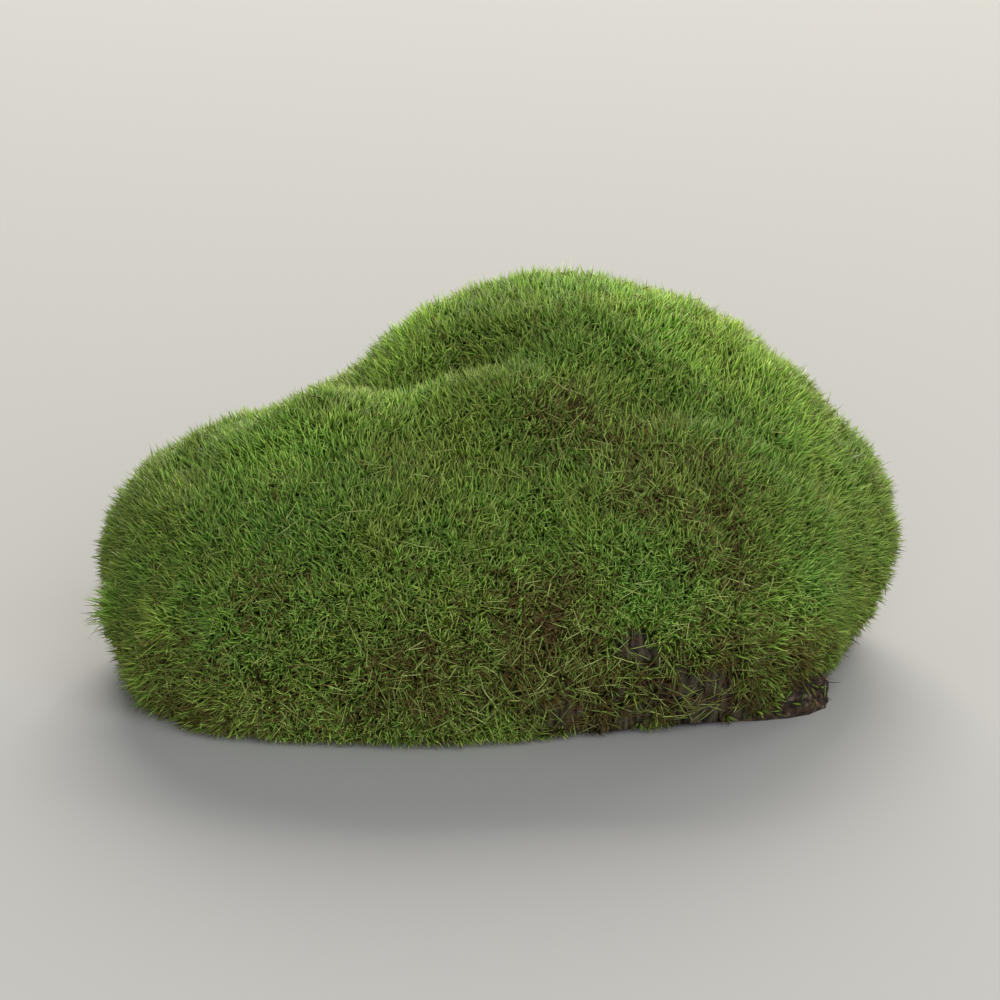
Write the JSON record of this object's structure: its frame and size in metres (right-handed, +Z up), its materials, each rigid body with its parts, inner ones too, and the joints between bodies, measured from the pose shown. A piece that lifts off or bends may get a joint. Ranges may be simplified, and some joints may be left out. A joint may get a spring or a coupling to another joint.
{
  "type": "moss clump",
  "caption": "Clump of cushion moss: a soft lobed green mound with a high crown and a lower shoulder, on the thin flat mat of soil that it was lifted with.",
  "frame": {"origin": "middle of the footprint, on the plane that the clump rests on", "axes": "+X along the clump's width to the right as seen from its front, +Y from its front to its back, +Z up"},
  "size_m": [0.15, 0.124, 0.069],
  "materials": {
    "living_moss": "velvety mass of fine green leaves, matt",
    "damp_soil": "crumbly dark soil with rootlets, matt"
  },
  "bodies": {
    "root": {"moss_cushion": "living_moss", "soil_mat": "damp_soil"}
  },
  "joints": []
}
